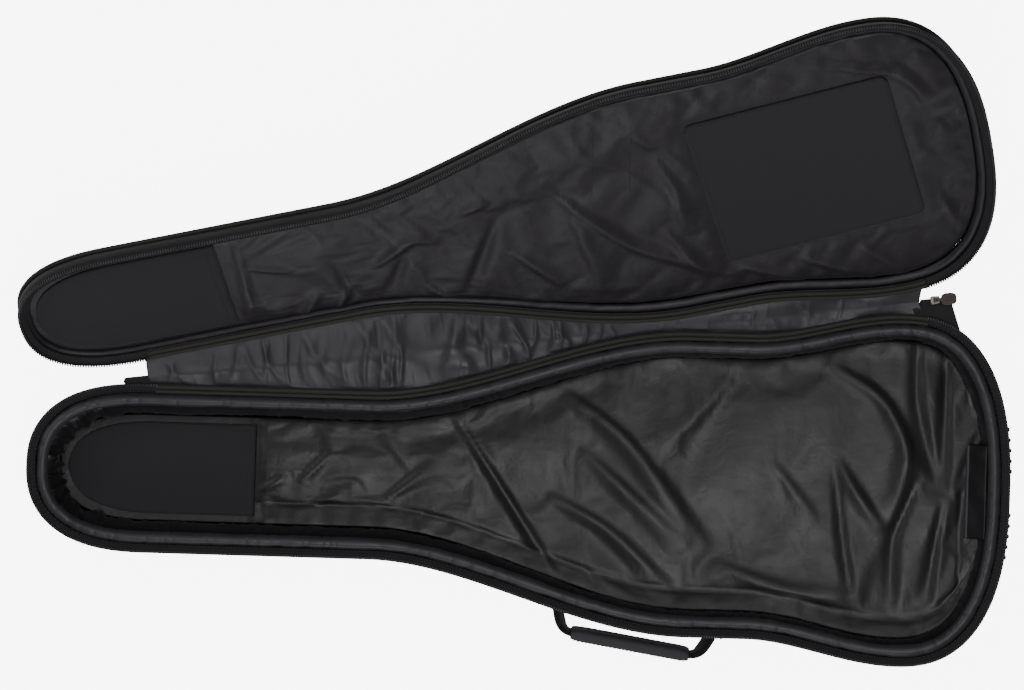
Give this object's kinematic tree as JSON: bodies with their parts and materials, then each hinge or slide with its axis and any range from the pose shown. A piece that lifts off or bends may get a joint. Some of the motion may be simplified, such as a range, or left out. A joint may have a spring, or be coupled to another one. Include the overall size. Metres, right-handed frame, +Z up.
{
  "type": "electric guitar gig bag",
  "caption": "Padded soft case for an electric guitar, lying open: a lined tray with a long neck end, and a zip-edged lid raised on its fabric hinge, with a side handle and a rubber butt bumper.",
  "frame": {"origin": "the middle of the tray's flat underside", "axes": "+X from the headstock end to the butt end, +Y to the hinge side, +Z up"},
  "size_m": [1.032, 0.6577, 0.3223],
  "materials": {
    "woven_nylon": "matte",
    "lining_nylon": "satin",
    "matte_patch": "matte",
    "black_foam": "matte",
    "piping_tube": "satin",
    "zip_tape": "matte",
    "zip_teeth": "satin",
    "bumper_rubber": "matte",
    "grip_pad": "matte",
    "slider_metal": "satin",
    "puller_rubber": "matte"
  },
  "bodies": {
    "tray": {"back_panel": "woven_nylon", "back_foam": "black_foam", "back_lining": "lining_nylon", "back_piping": "piping_tube", "back_headstock_patch": "matte_patch", "tray_gusset": "woven_nylon", "tray_wall_foam": "black_foam", "tray_wall_lining": "lining_nylon", "tray_rim_roll": "lining_nylon", "tray_zip_teeth": "zip_teeth", "tray_zip_tape": "zip_tape", "tray_hinge_binding": "zip_tape", "hinge_web": "lining_nylon", "butt_bumper": "bumper_rubber", "handle_anchor_head": "zip_tape", "handle_anchor_butt": "zip_tape", "zip_tail_head": "zip_tape", "zip_tail_butt": "zip_tape"},
    "lid": {"front_panel": "woven_nylon", "front_foam": "black_foam", "front_lining": "lining_nylon", "front_piping": "piping_tube", "lid_gusset": "woven_nylon", "lid_wall_foam": "black_foam", "lid_wall_lining": "lining_nylon", "lid_zip_teeth": "zip_teeth", "lid_zip_tape": "zip_tape", "lid_hinge_binding": "zip_tape", "lid_headstock_patch": "matte_patch", "lid_bridge_patch": "matte_patch", "front_pocket": "woven_nylon", "pocket_piping": "piping_tube", "pocket_zip_tape": "zip_tape", "pocket_zip_teeth": "zip_teeth"},
    "handle": {"handle_webbing": "zip_tape", "handle_grip": "grip_pad"},
    "flap": {"endpin_flap": "lining_nylon", "endpin_flap_binding": "zip_tape"},
    "main_slider": {"zip_slider": "slider_metal"},
    "main_puller": {"zip_puller": "puller_rubber"},
    "small_slider": {"pocket_slider": "slider_metal"},
    "small_puller": {"pocket_puller": "puller_rubber"}
  },
  "joints": [
    {"name": "lid_hinge", "type": "hinge", "parent": "tray", "child": "lid", "pos_m": [-0.42086, 0.09084, 0.062], "axis": [0.9919, 0.1268, 0], "range_deg": [-48, 136], "deforming": ["hinge_web"]},
    {"name": "handle_hinge", "type": "hinge", "parent": "tray", "child": "handle", "pos_m": [0.11988, -0.14348, 0.032], "axis": [-0.988, 0.1543, 0], "range_deg": [-12, 40], "deforming": ["handle_webbing"]},
    {"name": "flap_hinge", "type": "hinge", "parent": "tray", "child": "flap", "pos_m": [0.48138, 0, 0.042], "axis": [0, 1, 0], "range_deg": [0, 60]},
    {"name": "slider_slide", "type": "slide", "parent": "tray", "child": "main_slider", "axis": [0.9919, 0.1268, 0], "range_m": [-0.01, 0.01]},
    {"name": "puller_hinge", "type": "hinge", "parent": "main_slider", "child": "main_puller", "pos_m": [0.421, 0.19846, 0.0629], "axis": [0.1268, -0.9919, 0], "range_deg": [0, 170]},
    {"name": "pocket_slide", "type": "slide", "parent": "lid", "child": "small_slider", "axis": [-0.2163, 0.6917, 0.6891], "range_m": [0, 0.1415]},
    {"name": "pocket_puller_hinge", "type": "hinge", "parent": "small_slider", "child": "small_puller", "pos_m": [0.05845, 0.23937, 0.09248], "axis": [-0.9724, -0.2163, -0.0881], "range_deg": [0, 170]}
  ]
}
